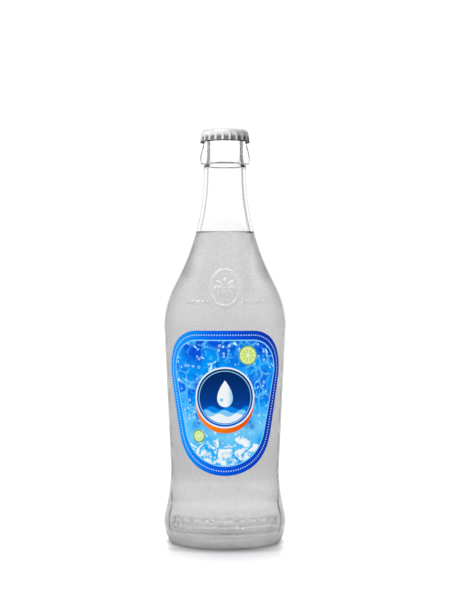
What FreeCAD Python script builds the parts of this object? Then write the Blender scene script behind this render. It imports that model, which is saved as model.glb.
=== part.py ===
import FreeCAD, Part
import math
import os

# A capped glass soda bottle: blown glass, drink, crown cap with liner, and a glued paper front label.
# Millimetres, +Z up, origin on the bottle's axis at the surface that it stands on, label towards -Y.

# Bottle sides, as the corners of the outline before they are rounded
foot_corner_radius = 31.7
foot_round = 3.0
heel_corner_radius = 36.36
heel_corner_height = 9.05
heel_round = 21.0
waist_corner_radius = 30.81
waist_corner_height = 31.8
waist_round = 95.0
shoulder_corner_radius = 35.7
shoulder_corner_height = 133.65
shoulder_round = 51.5
neck_corner_radius = 12.04
neck_corner_height = 180.7
neck_round = 133.0
neck_top_radius = 12.22

# Push-up of the base inside the flat ring that the bottle stands on
push_up_height = 3.0
push_up_flat_radius = 9.0
push_up_round = 20.0
bearing_inner_radius = 25.0
bearing_round = 1.5

# Glass thickness
side_wall = 2.7
neck_wall = 2.42
floor_thickness = 4.0
floor_edge_height = 4.5
floor_round = 10.0

# Finish: the bead, groove and locking ring at the mouth, by their drop below the glass top
bottle_height = 235.3
bead_foot_drop = 19.3
bead_foot_round = 0.5
bead_corner_drop = 18.8
bead_corner_overhang = 1.7
bead_corner_round = 1.2
bead_swell_drop = 15.0
bead_swell_radius = 14.55
bead_swell_round = 5.0
groove_drop = 5.7
groove_radius = 12.15
groove_round = 1.0
locking_ring_radius = 12.9
locking_ring_foot_drop = 4.2
locking_ring_top_drop = 1.9
locking_ring_round = 0.6
lip_radius = 11.6
lip_round = 0.8
bore_radius = 8.85
bore_lip_round = 0.9
bore_length = 16.3
bore_taper = 4.5
bore_round = 3.0

# Drink, by the drop of its surface below the glass top
fill_drop = 57.3

# Crown cap: pressed sheet with a fluted skirt, and the sealing disc under its top
sheet_thickness = 0.25
crown_height = 6.7
crown_clearance = 0.3
crown_corner_round = 2.3
flute_count = 21
flute_depth = 0.95
flute_share_above_flare = 0.75
flute_share_at_middle = 0.6
flute_share_at_corner = 0.12
flute_sharpness = 1.6
flute_turn = -5.5
rim_flare = 0.4
rim_flare_height = 1.3
liner_thickness = 0.6
liner_web_thickness = 0.35
liner_web_radius = 7.6

# Paper label and its glue film, drawn flat as the label is cut
paper_thickness = 0.12
glue_thickness = 0.05
glue_inset = 1.5
label_bottom_height = 40.8
label_height = 80.7
label_bottom_round = 29.7
label_corner_round = 21.0
label_side_lean = 13.5

# How finely the smooth curves are drawn, and the direction that the label faces in degrees
flute_points = 8
corner_rings = 4
arc_points = 13
front = -90
hair = 1e-6


def turn_between(before, here, after):
    """Signed turn of an outline at a corner, positive to the left, in radians."""
    heading_in = math.atan2(here[1] - before[1], here[0] - before[0])
    heading_out = math.atan2(after[1] - here[1], after[0] - here[0])
    turn = heading_out - heading_in
    return math.atan2(math.sin(turn), math.cos(turn))


def setbacks_of(corners):
    """Distance from each corner to the ends of its round."""
    setbacks = [0.0] * len(corners)
    for index in range(1, len(corners) - 1):
        turn = turn_between(corners[index - 1], corners[index], corners[index + 1])
        setbacks[index] = corners[index][2] * math.tan(abs(turn) / 2)
    return setbacks


def fitted_rounds(corners):
    """The same corners, with each round small enough for the straight runs beside it."""
    setbacks = setbacks_of(corners)
    shares = [1.0] * len(corners)
    for index in range(len(corners) - 1):
        run = math.dist(corners[index][:2], corners[index + 1][:2])
        wanted = setbacks[index] + setbacks[index + 1]
        if wanted > run:
            shares[index] = min(shares[index], run / wanted)
            shares[index + 1] = min(shares[index + 1], run / wanted)
    return [(radius, height, rounding * share) for (radius, height, rounding), share in zip(corners, shares)]


def at_section(point):
    """A (radius, height) pair as a point of the half section at +X."""
    return FreeCAD.Vector(point[0], 0, point[1])


def rounded_edges(corners):
    """Lines and tangent arcs through corners given as (radius, height, round)."""
    corners = fitted_rounds(corners)
    setbacks = setbacks_of(corners)
    edges = []
    pen = at_section(corners[0])
    for index in range(1, len(corners)):
        here = at_section(corners[index])
        towards_last = at_section(corners[index - 1]) - here
        towards_last.normalize()
        start = here + towards_last * setbacks[index]
        if (start - pen).Length > hair:
            edges.append(Part.LineSegment(pen, start).toShape())
        pen = start
        if setbacks[index] > hair:
            towards_next = at_section(corners[index + 1]) - here
            towards_next.normalize()
            end = here + towards_next * setbacks[index]
            half_turn = abs(turn_between(corners[index - 1], corners[index], corners[index + 1])) / 2
            radius = setbacks[index] / math.tan(half_turn)
            inwards = towards_last + towards_next
            inwards.normalize()
            middle = here + inwards * (radius / math.cos(half_turn) - radius)
            edges.append(Part.Arc(start, middle, end).toShape())
            pen = end
    return edges


def turned_solid(corners):
    """Solid of revolution about Z, from an outline whose closing edge is straight."""
    edges = rounded_edges(corners)
    first = edges[0].valueAt(edges[0].FirstParameter)
    last = edges[-1].valueAt(edges[-1].LastParameter)
    edges.append(Part.LineSegment(last, first).toShape())
    section = Part.Face(Part.Wire(edges))
    return section.revolve(FreeCAD.Vector(0, 0, 0), FreeCAD.Vector(0, 0, 1), 360)


def line_crossing(start_a, heading_a, start_b, heading_b):
    """Point where two lines of the section cross."""
    cross = heading_a[0] * heading_b[1] - heading_a[1] * heading_b[0]
    gap = (start_b[0] - start_a[0], start_b[1] - start_a[1])
    along = (gap[0] * heading_b[1] - gap[1] * heading_b[0]) / cross
    return (start_a[0] + heading_a[0] * along, start_a[1] + heading_a[1] * along)


def moved_inwards(corners, distances):
    """Upward outline moved towards the axis, each run by its own distance, rounds following."""
    runs = []
    for (r0, z0, _), (r1, z1, _), distance in zip(corners, corners[1:], distances):
        length = math.hypot(r1 - r0, z1 - z0)
        heading = ((r1 - r0) / length, (z1 - z0) / length)
        shift = (-heading[1] * distance, heading[0] * distance)
        runs.append(((r0 + shift[0], z0 + shift[1]), (r1 + shift[0], z1 + shift[1]), heading))
    moved = [(*runs[0][0], 0.0)]
    for index in range(1, len(corners) - 1):
        below = runs[index - 1]
        above = runs[index]
        point = line_crossing(below[0], below[2], above[0], above[2])
        turn = turn_between(corners[index - 1], corners[index], corners[index + 1])
        mean_distance = (distances[index - 1] + distances[index]) / 2
        moved.append((*point, corners[index][2] - math.copysign(mean_distance, turn)))
    moved.append((*runs[-1][1], 0.0))
    return moved


def outside_corners():
    """Outside of the glass, from the middle of the base up to the lip."""
    return fitted_rounds([
        (0, push_up_height, 0),
        (push_up_flat_radius, push_up_height, push_up_round),
        (bearing_inner_radius, 0, bearing_round),
        (foot_corner_radius, 0, foot_round),
        (heel_corner_radius, heel_corner_height, heel_round),
        (waist_corner_radius, waist_corner_height, waist_round),
        (shoulder_corner_radius, shoulder_corner_height, shoulder_round),
        (neck_corner_radius, neck_corner_height, neck_round),
        (neck_top_radius, bottle_height - bead_foot_drop, bead_foot_round),
        (neck_top_radius + bead_corner_overhang, bottle_height - bead_corner_drop, bead_corner_round),
        (bead_swell_radius, bottle_height - bead_swell_drop, bead_swell_round),
        (groove_radius, bottle_height - groove_drop, groove_round),
        (locking_ring_radius, bottle_height - locking_ring_foot_drop, locking_ring_round),
        (locking_ring_radius, bottle_height - locking_ring_top_drop, locking_ring_round),
        (lip_radius, bottle_height, lip_round),
    ])


heel, waist, shoulder, neck, bead_foot = outside_corners()[4:9]


def cavity_corners():
    """Inside of the glass, from the middle of the floor up to the top of the wide neck."""
    sides = [heel, waist, shoulder, neck, bead_foot]
    inside = moved_inwards(sides, [side_wall, side_wall, side_wall, neck_wall])
    flare = (inside[1][0] - inside[0][0], inside[1][1] - inside[0][1])
    floor_edge = line_crossing(inside[0], flare, (0, floor_edge_height), (1, 0))
    floor_top = push_up_height + floor_thickness
    neck_run = (inside[-1][0] - inside[-2][0], inside[-1][1] - inside[-2][1])
    taper_foot = bottle_height - bore_length - bore_taper
    neck_top = line_crossing(inside[-1], neck_run, (0, taper_foot), (1, 0))
    return [
        (0, floor_top, 0),
        (push_up_flat_radius, floor_top, push_up_round),
        (*floor_edge, floor_round),
        *inside[1:-1],
        (*neck_top, bore_round),
    ]


def bore_corners():
    """Inside of the finish, from the straight bore's foot up to the lip."""
    return [
        (bore_radius, bottle_height - bore_length, bore_round),
        (bore_radius, bottle_height, bore_lip_round),
    ]


def glass_bottle():
    """The whole glass, turned from one closed half section."""
    inside = cavity_corners() + bore_corners()
    return turned_solid(outside_corners() + inside[::-1])


def soda_fill():
    """The drink, wetting the glass from the floor up to the fill line."""
    inside = cavity_corners() + bore_corners()
    cavity = turned_solid(inside + [(0, bottle_height, 0)])
    surface_height = bottle_height - fill_drop
    reach = shoulder_corner_radius + heel_corner_radius
    below_surface = Part.makeCylinder(reach, surface_height)
    return cavity.common(below_surface).Solids[0]


crown_top = bottle_height + liner_thickness + sheet_thickness
crown_rim = crown_top - crown_height
skirt_radius = locking_ring_radius + crown_clearance + sheet_thickness
crown_flat_radius = skirt_radius - crown_corner_round


def flute_ring(recess_radius, ridge_rise, height):
    """Closed smooth ring of the skirt: even recesses with narrow ridges standing out between them."""
    points = []
    sample_count = flute_count * flute_points
    for index in range(sample_count):
        angle = 2 * math.pi * index / sample_count
        ridge = ((1 + math.cos(flute_count * angle)) / 2) ** flute_sharpness
        radius = recess_radius + ridge_rise * ridge
        turned = angle + math.radians(front + flute_turn)
        points.append(FreeCAD.Vector(radius * math.cos(turned), radius * math.sin(turned), height))
    ring = Part.BSplineCurve()
    ring.interpolate(Points=points, PeriodicFlag=True)
    return Part.Wire(ring.toShape())


def crown_rings(inset):
    """Rings from the rim up over the corner to the flat top, on a sheet face inset from the outside."""
    corner_foot = crown_top - crown_corner_round
    flare_top = crown_rim + rim_flare_height
    middle = (flare_top + corner_foot) / 2
    rings = [
        flute_ring(skirt_radius - inset + rim_flare, flute_depth - rim_flare, crown_rim),
        flute_ring(skirt_radius - inset, flute_depth * flute_share_above_flare, flare_top),
        flute_ring(skirt_radius - inset, flute_depth * flute_share_at_middle, middle),
        flute_ring(skirt_radius - inset, flute_depth * flute_share_at_corner, corner_foot),
    ]
    for step in range(1, corner_rings + 1):
        lift = math.pi / 2 * step / corner_rings
        reach = (crown_corner_round - inset) * math.cos(lift)
        rise = (crown_corner_round - inset) * math.sin(lift)
        rings.append(flute_ring(crown_flat_radius + reach, 0, corner_foot + rise))
    return rings


def crown_shell():
    """Pressed sheet: the outside form less the inside form."""
    outside = Part.makeLoft(crown_rings(0), True, False)
    inside = Part.makeLoft(crown_rings(sheet_thickness), True, False)
    return outside.cut(inside).Solids[0]


def crown_liner():
    """Sealing disc, thicker where it presses on the lip."""
    top = crown_top - sheet_thickness
    web = top - liner_web_thickness
    return turned_solid([
        (0, web, 0),
        (liner_web_radius, web, 0),
        (liner_web_radius, bottle_height, 0),
        (crown_flat_radius, bottle_height, 0),
        (crown_flat_radius, top, 0),
        (0, top, 0),
    ])


def panel_radius(height):
    """Glass radius on the straight tapered panel that carries the label."""
    share = (height - waist_corner_height) / (shoulder_corner_height - waist_corner_height)
    return waist_corner_radius + share * (shoulder_corner_radius - waist_corner_radius)


def wrapped(across, height):
    """A point of the flat label, seen from the front once the label is on the glass."""
    radius = panel_radius(height)
    return FreeCAD.Vector(radius * math.sin(across / radius), 0, height)


def label_prism(inset):
    """Front prism of the label's outline, drawn in from its edge by the inset."""
    lean = math.radians(label_side_lean)
    top = label_bottom_height + label_height
    bottom_centre = label_bottom_height + label_bottom_round
    corner_height = top - label_corner_round
    corner_across = (label_bottom_round - label_corner_round
                     + (corner_height - bottom_centre) * math.sin(lean)) / math.cos(lean)
    corner_radius = label_corner_round - inset
    bottom_radius = label_bottom_round - inset

    def right_corner(share):
        angle = math.pi / 2 - share * (math.pi / 2 + lean)
        across = corner_across + corner_radius * math.cos(angle)
        return (across, corner_height + corner_radius * math.sin(angle))

    def bottom(share):
        angle = -lean - share * (math.pi - 2 * lean)
        return (bottom_radius * math.cos(angle), bottom_centre + bottom_radius * math.sin(angle))

    def right_side(share):
        start = right_corner(1)
        end = bottom(0)
        return (start[0] + share * (end[0] - start[0]), start[1] + share * (end[1] - start[1]))

    def mirrored(stretch):
        def left(share):
            across, height = stretch(1 - share)
            return (-across, height)
        return left

    def smooth_edge(stretch):
        points = [wrapped(*stretch(index / (arc_points - 1))) for index in range(arc_points)]
        curve = Part.BSplineCurve()
        curve.interpolate(points)
        return curve.toShape()

    outline = [
        smooth_edge(right_corner),
        smooth_edge(right_side),
        smooth_edge(bottom),
        smooth_edge(mirrored(right_side)),
        smooth_edge(mirrored(right_corner)),
        Part.LineSegment(wrapped(*mirrored(right_corner)(1)), wrapped(*right_corner(0))).toShape(),
    ]
    reach = shoulder_corner_radius + heel_corner_radius
    return Part.Face(Part.Wire(outline)).extrude(FreeCAD.Vector(0, -reach, 0))


def wrapped_sheet(inner_lift, thickness, inset):
    """Sheet of even thickness lying over the panel, cut to the label's outline."""
    strip = [heel, waist, shoulder, neck]
    runs = len(strip) - 1
    inner = moved_inwards(strip, [-inner_lift] * runs)
    outer = moved_inwards(strip, [-inner_lift - thickness] * runs)
    band = turned_solid(inner + outer[::-1])
    return band.common(label_prism(inset)).Solids[0]


def label_adhesive():
    """Glue film between the glass and the paper."""
    return wrapped_sheet(0.0, glue_thickness, glue_inset)


def front_label():
    """Paper label on the glue film."""
    return wrapped_sheet(glue_thickness, paper_thickness, 0.0)


def write_parts():
    """One file for each piece."""
    os.makedirs("parts", exist_ok=True)
    pieces = {
        "glass_bottle": glass_bottle(),
        "soda_fill": soda_fill(),
        "crown_shell": crown_shell(),
        "crown_liner": crown_liner(),
        "label_adhesive": label_adhesive(),
        "front_label": front_label(),
    }
    for name, shape in pieces.items():
        shape.exportStep("parts/" + name + ".step")
        box = shape.BoundBox
        print(name, shape.isValid(), len(shape.Solids), "solid", round(shape.Volume / 1000, 3), "cm3",
              [round(v, 2) for v in (box.XMin, box.XMax, box.YMin, box.YMax, box.ZMin, box.ZMax)])


write_parts()
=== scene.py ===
import functools
import math

import bmesh
import bpy
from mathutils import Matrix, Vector


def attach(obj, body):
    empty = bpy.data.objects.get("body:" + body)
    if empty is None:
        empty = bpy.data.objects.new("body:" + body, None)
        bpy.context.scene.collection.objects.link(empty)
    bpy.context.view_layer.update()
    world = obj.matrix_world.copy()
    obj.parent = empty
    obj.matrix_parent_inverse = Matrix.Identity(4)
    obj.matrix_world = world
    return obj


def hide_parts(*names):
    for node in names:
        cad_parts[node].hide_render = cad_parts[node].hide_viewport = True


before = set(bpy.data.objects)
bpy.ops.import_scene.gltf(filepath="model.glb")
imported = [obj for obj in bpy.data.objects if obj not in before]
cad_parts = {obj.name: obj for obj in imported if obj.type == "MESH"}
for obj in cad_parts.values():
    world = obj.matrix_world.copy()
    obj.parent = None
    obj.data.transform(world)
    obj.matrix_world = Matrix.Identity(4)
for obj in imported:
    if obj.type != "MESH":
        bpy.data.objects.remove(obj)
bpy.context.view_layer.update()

# A capped glass soda bottle, dressed around its solids. Metres, +Z up, the label towards -Y.
mm = 0.001
front = -90.0
hair = 1e-9
weld = 0.01 * mm
sheet_weld = 0.004 * mm

# Outside of the glass in millimetres, from the middle of the base up to the lip: radius, height, round
outside_outline = {
    "base_middle": (0.0, 3.0, 0.0),
    "push_up_edge": (9.0, 3.0, 20.0),
    "bearing_inner_edge": (25.0, 0.0, 1.5),
    "foot": (31.7, 0.0, 3.0),
    "heel": (36.335, 9.05, 21.0),
    "waist": (30.81, 31.8, 95.0),
    "shoulder": (35.68, 133.65, 51.5),
    "neck": (12.04, 180.7, 133.0),
    "bead_foot": (12.22, 216.0, 0.5),
    "bead_corner": (13.92, 216.5, 1.2),
    "bead_swell": (14.55, 220.3, 5.0),
    "groove": (12.15, 229.6, 1.0),
    "locking_ring_foot": (12.9, 231.1, 0.6),
    "locking_ring_top": (12.9, 233.4, 0.6),
    "lip": (11.6, 235.3, 0.8),
}
glass_top = outside_outline["lip"][1]
side_wall = 2.7
neck_wall = 2.42
floor_top = 7.0
floor_flat_radius = 9.0
floor_flat_round = 20.0
floor_edge_height = 4.5
floor_round = 10.0
bore_radius = 8.85
bore_foot_height = 219.0
bore_taper_foot_height = 214.5
bore_round = 3.0
bore_lip_round = 0.9

# Dark lines painted on the glass where the walls would show through it, in millimetres from the wall
finish_line = (-0.4, 1.5)
neck_line = (-0.2, 0.6)
edge_line = (-0.5, 0.5)
edge_line_depth = 1.2
heel_line_extra = 1.7
heel_line_heights = (22.0, 32.0)
seen_from_below = math.radians(5)
wall_facing = 0.3

# Rows and columns of the glass, cut finer where the raised work is
plain_row = 3.0
inner_row = 5.0
longest_row = 1.5
widest_turn = math.radians(12)
raised_row = 0.75
raised_cuts = 2
heel_work_heights = (8.5, 18.6)
shoulder_work_heights = (132.5, 158.0)
bead_work_heights = (135.5, 139.0)
oval_margin = 1.4
row_margin = 0.6
glass_columns = 256

# Raised work on the front: an oval ring with a rosette, beads beside it, and ribs and dots round the heel
raised_height = 0.6 * mm
least_share = 0.01
shoulder_stretch = 1.1
oval_centre_height = 145.0
oval_half_width = 8.2
oval_half_height = 11.2
oval_line = 1.8
oval_zone = 1.35
petal_count = 8
petal_reach = 6.4
petal_root = 0.3
petal_power = 0.7
petal_slope = 1.6
eye_radius = 1.2
eye_gap = 0.6
bead_ring_height = 137.2
bead_count = 66
last_bead = 7
bead_radius = 1.1
bead_stretch = 1.12
rib_count = 66
first_full_rib = 2
last_rib = 10
rib_middle = 14.4
rib_half_height = 2.2
rib_half_width = 0.85
upper_dot_middle = 16.6
lower_dot_middle = 12.9
dot_half_height = 0.95
rib_slope = 0.55
rib_share = 0.83
low_dot_share = 0.3

# Look of the glass, with its painted dark lines and rims: heights and radii in millimetres, line weights by
# share of the bottle's height
line_blur = 0.01
line_weights = (
    (0.0, 0.0), (0.03, 1.0), (0.35, 0.9), (0.45, 0.5), (0.74, 0.4), (0.76, 0.7), (0.91, 0.7), (0.92, 0.95),
)
painted_line_tone = 0.04
whole_line_heights = (20.0, 26.0)
whole_line_share = 0.7
# Painted dark rims where the glass turns away from view, above the drink and beside it
empty_rim_turn = (0.62, 0.82)
empty_rim_share = 0.6
full_rim_turn = (0.62, 0.8)
full_rim_heights = (125.0, 150.0)
full_rim_shares = (0.3, 0.1)
# The scuffed foot: its colour is darkened here as painted shade, while its dulling is real scuffing
scuff_heights = (3.5, 11.0)
scuff_radii = (22.0, 27.0)
foot_shade_tone = 0.7
scuff_dulling = 0.5
rubbed_dulling = 0.16
worn_heights = (20.0, 120.0)
worn_tone = 0.5
worn_dulling = (1.0, 1.7)

# Drink, with its grey painted lighter and darker by height as light and shade
fill_height = 177.0
meniscus_rise = 0.3
meniscus_reach = 0.3
meniscus_round_share = 0.95
wetting = 0.12
drink_columns = 180
drink_painted_shade = (
    (6.0, 1.0), (14.0, 0.9), (20.0, 0.45), (28.0, 0.68), (38.0, 0.45), (110.0, 0.61), (138.0, 0.6),
    (155.0, 0.66), (176.0, 0.63),
)
speckle_tone = 0.2
# Painted light: the drink is lighter towards the shoulder's sides, between these heights and turns
pale_from_heights = (138.0, 150.0)
pale_to_heights = (156.0, 170.0)
pale_turn = (0.08, 0.17)

# Crown cap and its liner
crown_top = 236.15
crown_rim = 228.95
crown_flat_radius = 11.15
crown_flat_rings = (0.3, 0.65, 0.95)
crown_corner_round = 2.3
skirt_radius = 13.45
sheet_thickness = 0.25
flute_count = 21
flute_columns = 16
corner_steps = 7
skirt_steps = 11
first_rise = 0.1
skirt_rise = 0.6
skirt_power = 2.6
rim_rise = 0.25
rim_flare = 0.4
flare_start = 0.68
flare_power = 1.5
flute_sharpness = 1.6
flute_turn = -5.5
ring_match = 0.01
valley_reach = 1.5
valley_slope = 2
valley_power = 3
shade_above_rim = 0.35
shade_rim_run = 0.6
shade_below_top = 2.6
shade_top_run = 2.4
# Painted shadow: the bottom band of the skirt, just above the rim, is painted dark
hem_height = 0.8
hem_run = 0.35
liner_web = 0.35
liner_rim_radius = 11.1
liner_columns = 120

# Label sheet, drawn flat, and its glue
paper_thickness = 0.12
glue_thickness = 0.05
glue_clearance = 0.02
glue_film = 0.025
glue_inset = 1.5
glue_rows = 60
glue_columns = 40
label_bottom = 40.8
label_height = 80.7
label_bottom_round = 29.7
label_corner_round = 21.0
label_side_lean = math.radians(13.5)
label_rows = 96
label_columns = 64
flat_span = 100.0

# Light, floor and camera, with distances on the floor in millimetres
lamp_brightness = 3.0
lamp_width = math.radians(40)
lamp_lean = math.radians(15)
lamp_turn = math.radians(2)
lamp_place = (0, 0.25, 1.0)
crown_lamp_size = 0.5
crown_lamp_power = 1.5
crown_lamp_place = (-0.2, -0.3, 0.8)
sparkle_width = 1.5
sparkle_depth = 1.0
sparkle_brightness = 10.0
sparkle_place = (0, 0.15, 1.0)
left_tone = 1.1
right_tone = 0.9
front_tone = 0.72
back_tone = 1.06
ceiling_tone = 0.45
side_span = (-0.7, 0.7)
front_span = (-0.9, 0.2)
back_span = (0.5, 0.9)
ceiling_span = (0.35, 0.75)
card_size = 0.09
card_place = (0.06, -0.01, 0.235)
floor_size = 12.0
floor_tones = (0.9, 0.92)
# Painted shadow on the floor in front of the foot
painted_shadow_depths = (-40.0, -12.0)
painted_shadow_radii = (34.0, 49.0)
painted_shadow_narrowing = 0.9
painted_shadow_tone = 0.3
painted_shadow_share = 0.65
# Painted light: the floor glows under the glass and beside the foot, though it is no lamp
under_glow = (1.0, 2.3)
under_glow_radii = (12.0, 24.0)
under_glow_depths = (-24.0, 16.0)
under_glow_edge = (26.0, 3.5)
under_glow_slope = (0.55, 1.6)
beside_foot = (28.5, 37.0)
beside_end = (56.0, 76.0)
beside_glow = 0.45
camera_place = (0, -0.864, 0.1407)
camera_lens = 91.2
camera_sensor = 36.0

# Print on the label, in millimetres from the middle of its bottom edge, with inks from 0 to 255
ink_strength = 0.95
print_blur = 0.12
border_width = 5.0
border_half_span = 30.0
border_inks = ((0.0, (0, 150, 252)), (0.3, (0, 104, 240)), (0.7, (0, 78, 220)), (1.0, (0, 56, 176)))
keyline = 0.7
line_edge = 0.1
dot_pitch = 1.5
dot_radius = 0.36
water_inks = (
    (0.0, (0, 110, 240)), (0.14, (0, 170, 255)), (0.26, (120, 212, 255)), (0.40, (0, 160, 255)),
    (0.58, (0, 96, 232)), (0.74, (0, 158, 255)), (0.92, (0, 84, 224)),
)
water_drift = 60.0
ripple_sway = 9.0
splash_height = 34.0
splash_lift = 0.17
bubble_size = 0.24
white_ink = (248, 252, 255)
roundel_middle = (0.0, 43.5)
roundel_radius = 16.5
night_inks = ((0.0, (0, 92, 206)), (0.45, (0, 58, 140)), (1.0, (0, 40, 96)))
crescent_drop = 2.9
crescent_edge = 0.4
roundel_rim = 0.5
night_inset = 0.4
ring_inset = 1.7
ring_half_width = 0.22
wave_inset = 2.3
waves = ((-5.6, 0.0, (0, 136, 240)), (-7.6, 1.9, (126, 206, 252)), (-9.6, 3.6, (240, 249, 255)))
wave_pitch = 0.62
wave_swell = 0.9
drop_foot = 5.2
drop_height = 15.0
drop_belly = 11.5
gleam_middle = (-1.9, -1.2)
gleam_radius = 0.9
lime_middle = (13.0, 67.0)
lime_radius = 5.4
small_lime_middle = (-15.0, 22.0)
small_lime_radius = 3.6
lime_segments = 9
rind = 0.7
pulp_inset = 1.2


def turn_at(before, here, after):
    """Signed turn of an outline at a corner, positive to the left."""
    heading_in = math.atan2(here[1] - before[1], here[0] - before[0])
    heading_out = math.atan2(after[1] - here[1], after[0] - here[0])
    turn = heading_out - heading_in
    return math.atan2(math.sin(turn), math.cos(turn))


def setbacks_of(corners):
    """Distance from each corner to the ends of its round."""
    setbacks = [0.0] * len(corners)
    for index in range(1, len(corners) - 1):
        turn = turn_at(*corners[index - 1:index + 2])
        setbacks[index] = corners[index][2] * math.tan(abs(turn) / 2)
    return setbacks


def fitted(corners):
    """The same corners, with each round small enough for the runs beside it."""
    setbacks = setbacks_of(corners)
    shares = [1.0] * len(corners)
    for index in range(len(corners) - 1):
        run = math.dist(corners[index][:2], corners[index + 1][:2])
        wanted = setbacks[index] + setbacks[index + 1]
        if wanted > run:
            shares[index] = min(shares[index], run / wanted)
            shares[index + 1] = min(shares[index + 1], run / wanted)
    return [(radius, height, rounding * share)
            for (radius, height, rounding), share in zip(corners, shares)]


def crossing(start_a, heading_a, start_b, heading_b):
    """Point where two lines of the section cross."""
    cross = heading_a[0] * heading_b[1] - heading_a[1] * heading_b[0]
    gap = (start_b[0] - start_a[0], start_b[1] - start_a[1])
    along = (gap[0] * heading_b[1] - gap[1] * heading_b[0]) / cross
    return (start_a[0] + heading_a[0] * along, start_a[1] + heading_a[1] * along)


def moved_inwards(corners, distances):
    """Upward outline moved towards the axis, each run by its own distance, rounds following."""
    runs = []
    for (r0, z0, _), (r1, z1, _), distance in zip(corners, corners[1:], distances):
        length = math.hypot(r1 - r0, z1 - z0)
        heading = ((r1 - r0) / length, (z1 - z0) / length)
        shift = (-heading[1] * distance, heading[0] * distance)
        runs.append(((r0 + shift[0], z0 + shift[1]), (r1 + shift[0], z1 + shift[1]), heading))
    moved = [(*runs[0][0], 0.0)]
    for index in range(1, len(corners) - 1):
        point = crossing(runs[index - 1][0], runs[index - 1][2], runs[index][0], runs[index][2])
        turn = turn_at(*corners[index - 1:index + 2])
        mean_distance = (distances[index - 1] + distances[index]) / 2
        moved.append((*point, corners[index][2] - math.copysign(mean_distance, turn)))
    moved.append((*runs[-1][1], 0.0))
    return moved


outside_corners = fitted(list(outside_outline.values()))
corner_names = list(outside_outline)
side_corners = outside_corners[corner_names.index("heel"):corner_names.index("bead_foot") + 1]


def cavity_corners(overlap):
    """Inside of the glass from the floor up to the taper, moved into the wall by an overlap."""
    wall = side_wall - overlap
    inside = moved_inwards(side_corners, [wall, wall, wall, neck_wall - overlap])
    flare = (inside[1][0] - inside[0][0], inside[1][1] - inside[0][1])
    floor_edge = crossing(inside[0], flare, (0, floor_edge_height - overlap), (1, 0))
    neck_run = (inside[-1][0] - inside[-2][0], inside[-1][1] - inside[-2][1])
    neck_top = crossing(inside[-1], neck_run, (0, bore_taper_foot_height), (1, 0))
    return [
        (0, floor_top - overlap, 0),
        (floor_flat_radius, floor_top - overlap, floor_flat_round),
        (*floor_edge, floor_round),
        *inside[1:-1],
        (*neck_top, bore_round),
    ]


def add_piece(name, primitive, **settings):
    """Deselect everything, add a primitive at its size and place, and name it."""
    bpy.ops.object.select_all(action="DESELECT")
    primitive(**settings)
    piece = bpy.context.object
    piece.name = name
    piece.data.name = name
    return piece


def start_piece(name):
    """A single point at the origin, in edit mode, as the start of a drawn outline."""
    piece = add_piece(name, bpy.ops.mesh.primitive_circle_add, vertices=8, radius=mm)
    bpy.ops.object.mode_set(mode="EDIT")
    bpy.ops.mesh.select_all(action="SELECT")
    bpy.ops.mesh.merge(type="CENTER")
    return piece


def at_section(point):
    """A (radius, height) pair in millimetres as a point of the half section at +X."""
    return Vector((point[0] * mm, 0, point[1] * mm))


def glass_row(index, height):
    """Row height of the glass, finer on the outside where the raised work is."""
    on_outside = index < len(outside_corners)
    for low, high in (heel_work_heights, shoulder_work_heights):
        if on_outside and low <= height <= high:
            return raised_row * mm
    return (plain_row if on_outside else inner_row) * mm


def plain_turned_row(index, height):
    """Row height of a plain turned surface."""
    return plain_row * mm


def draw_run(pen, end, row_at):
    """Extrude the pen's point along a straight run, row by row."""
    while (end - pen).length > hair:
        ahead = end - pen
        step = row_at(pen.z / mm)
        if ahead.length > longest_row * step:
            ahead = ahead.normalized() * step
        bpy.ops.mesh.extrude_region_move(TRANSFORM_OT_translate={"value": ahead})
        pen = pen + ahead
    return end


def draw_round(pen, centre, turn, row_at):
    """Spin the pen's point about the centre of a round, row by row."""
    radius = (pen - centre).length
    side = math.copysign(1, turn)
    left = abs(turn)
    while left > hair:
        step = min(row_at(pen.z / mm) / radius, widest_turn)
        if left <= longest_row * step:
            step = left
        bpy.ops.mesh.spin(steps=1, angle=step, center=centre, axis=(0, side, 0))
        arm = pen - centre
        angle = math.atan2(arm.z, arm.x) + side * step
        pen = centre + Vector((math.cos(angle), 0, math.sin(angle))) * radius
        left -= step


def draw_outline(corners, row_at):
    """Draw a half section through corners: runs are extruded and rounds are spun."""
    corners = fitted(corners)
    setbacks = setbacks_of(corners)
    pen = at_section(corners[0])
    bpy.ops.transform.translate(value=pen)
    for index in range(1, len(corners)):
        row_here = functools.partial(row_at, index)
        here = at_section(corners[index])
        last_heading = (at_section(corners[index - 1]) - here).normalized()
        pen = draw_run(pen, here + last_heading * setbacks[index] * mm, row_here)
        if setbacks[index] > hair:
            next_heading = (at_section(corners[index + 1]) - here).normalized()
            turn = turn_at(*corners[index - 1:index + 2])
            inwards = (last_heading + next_heading).normalized()
            centre = here + inwards * corners[index][2] * mm / math.cos(turn / 2)
            draw_round(pen, centre, turn, row_here)
            pen = here + next_heading * setbacks[index] * mm


def apply_modifier(piece, kind, **settings):
    """Add a modifier to a piece, set it and apply it."""
    bpy.ops.object.select_all(action="DESELECT")
    piece.select_set(True)
    bpy.context.view_layer.objects.active = piece
    modifier = piece.modifiers.new(kind.lower(), kind)
    for setting, value in settings.items():
        setattr(modifier, setting, value)
    bpy.ops.object.modifier_apply(modifier=modifier.name)


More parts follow.
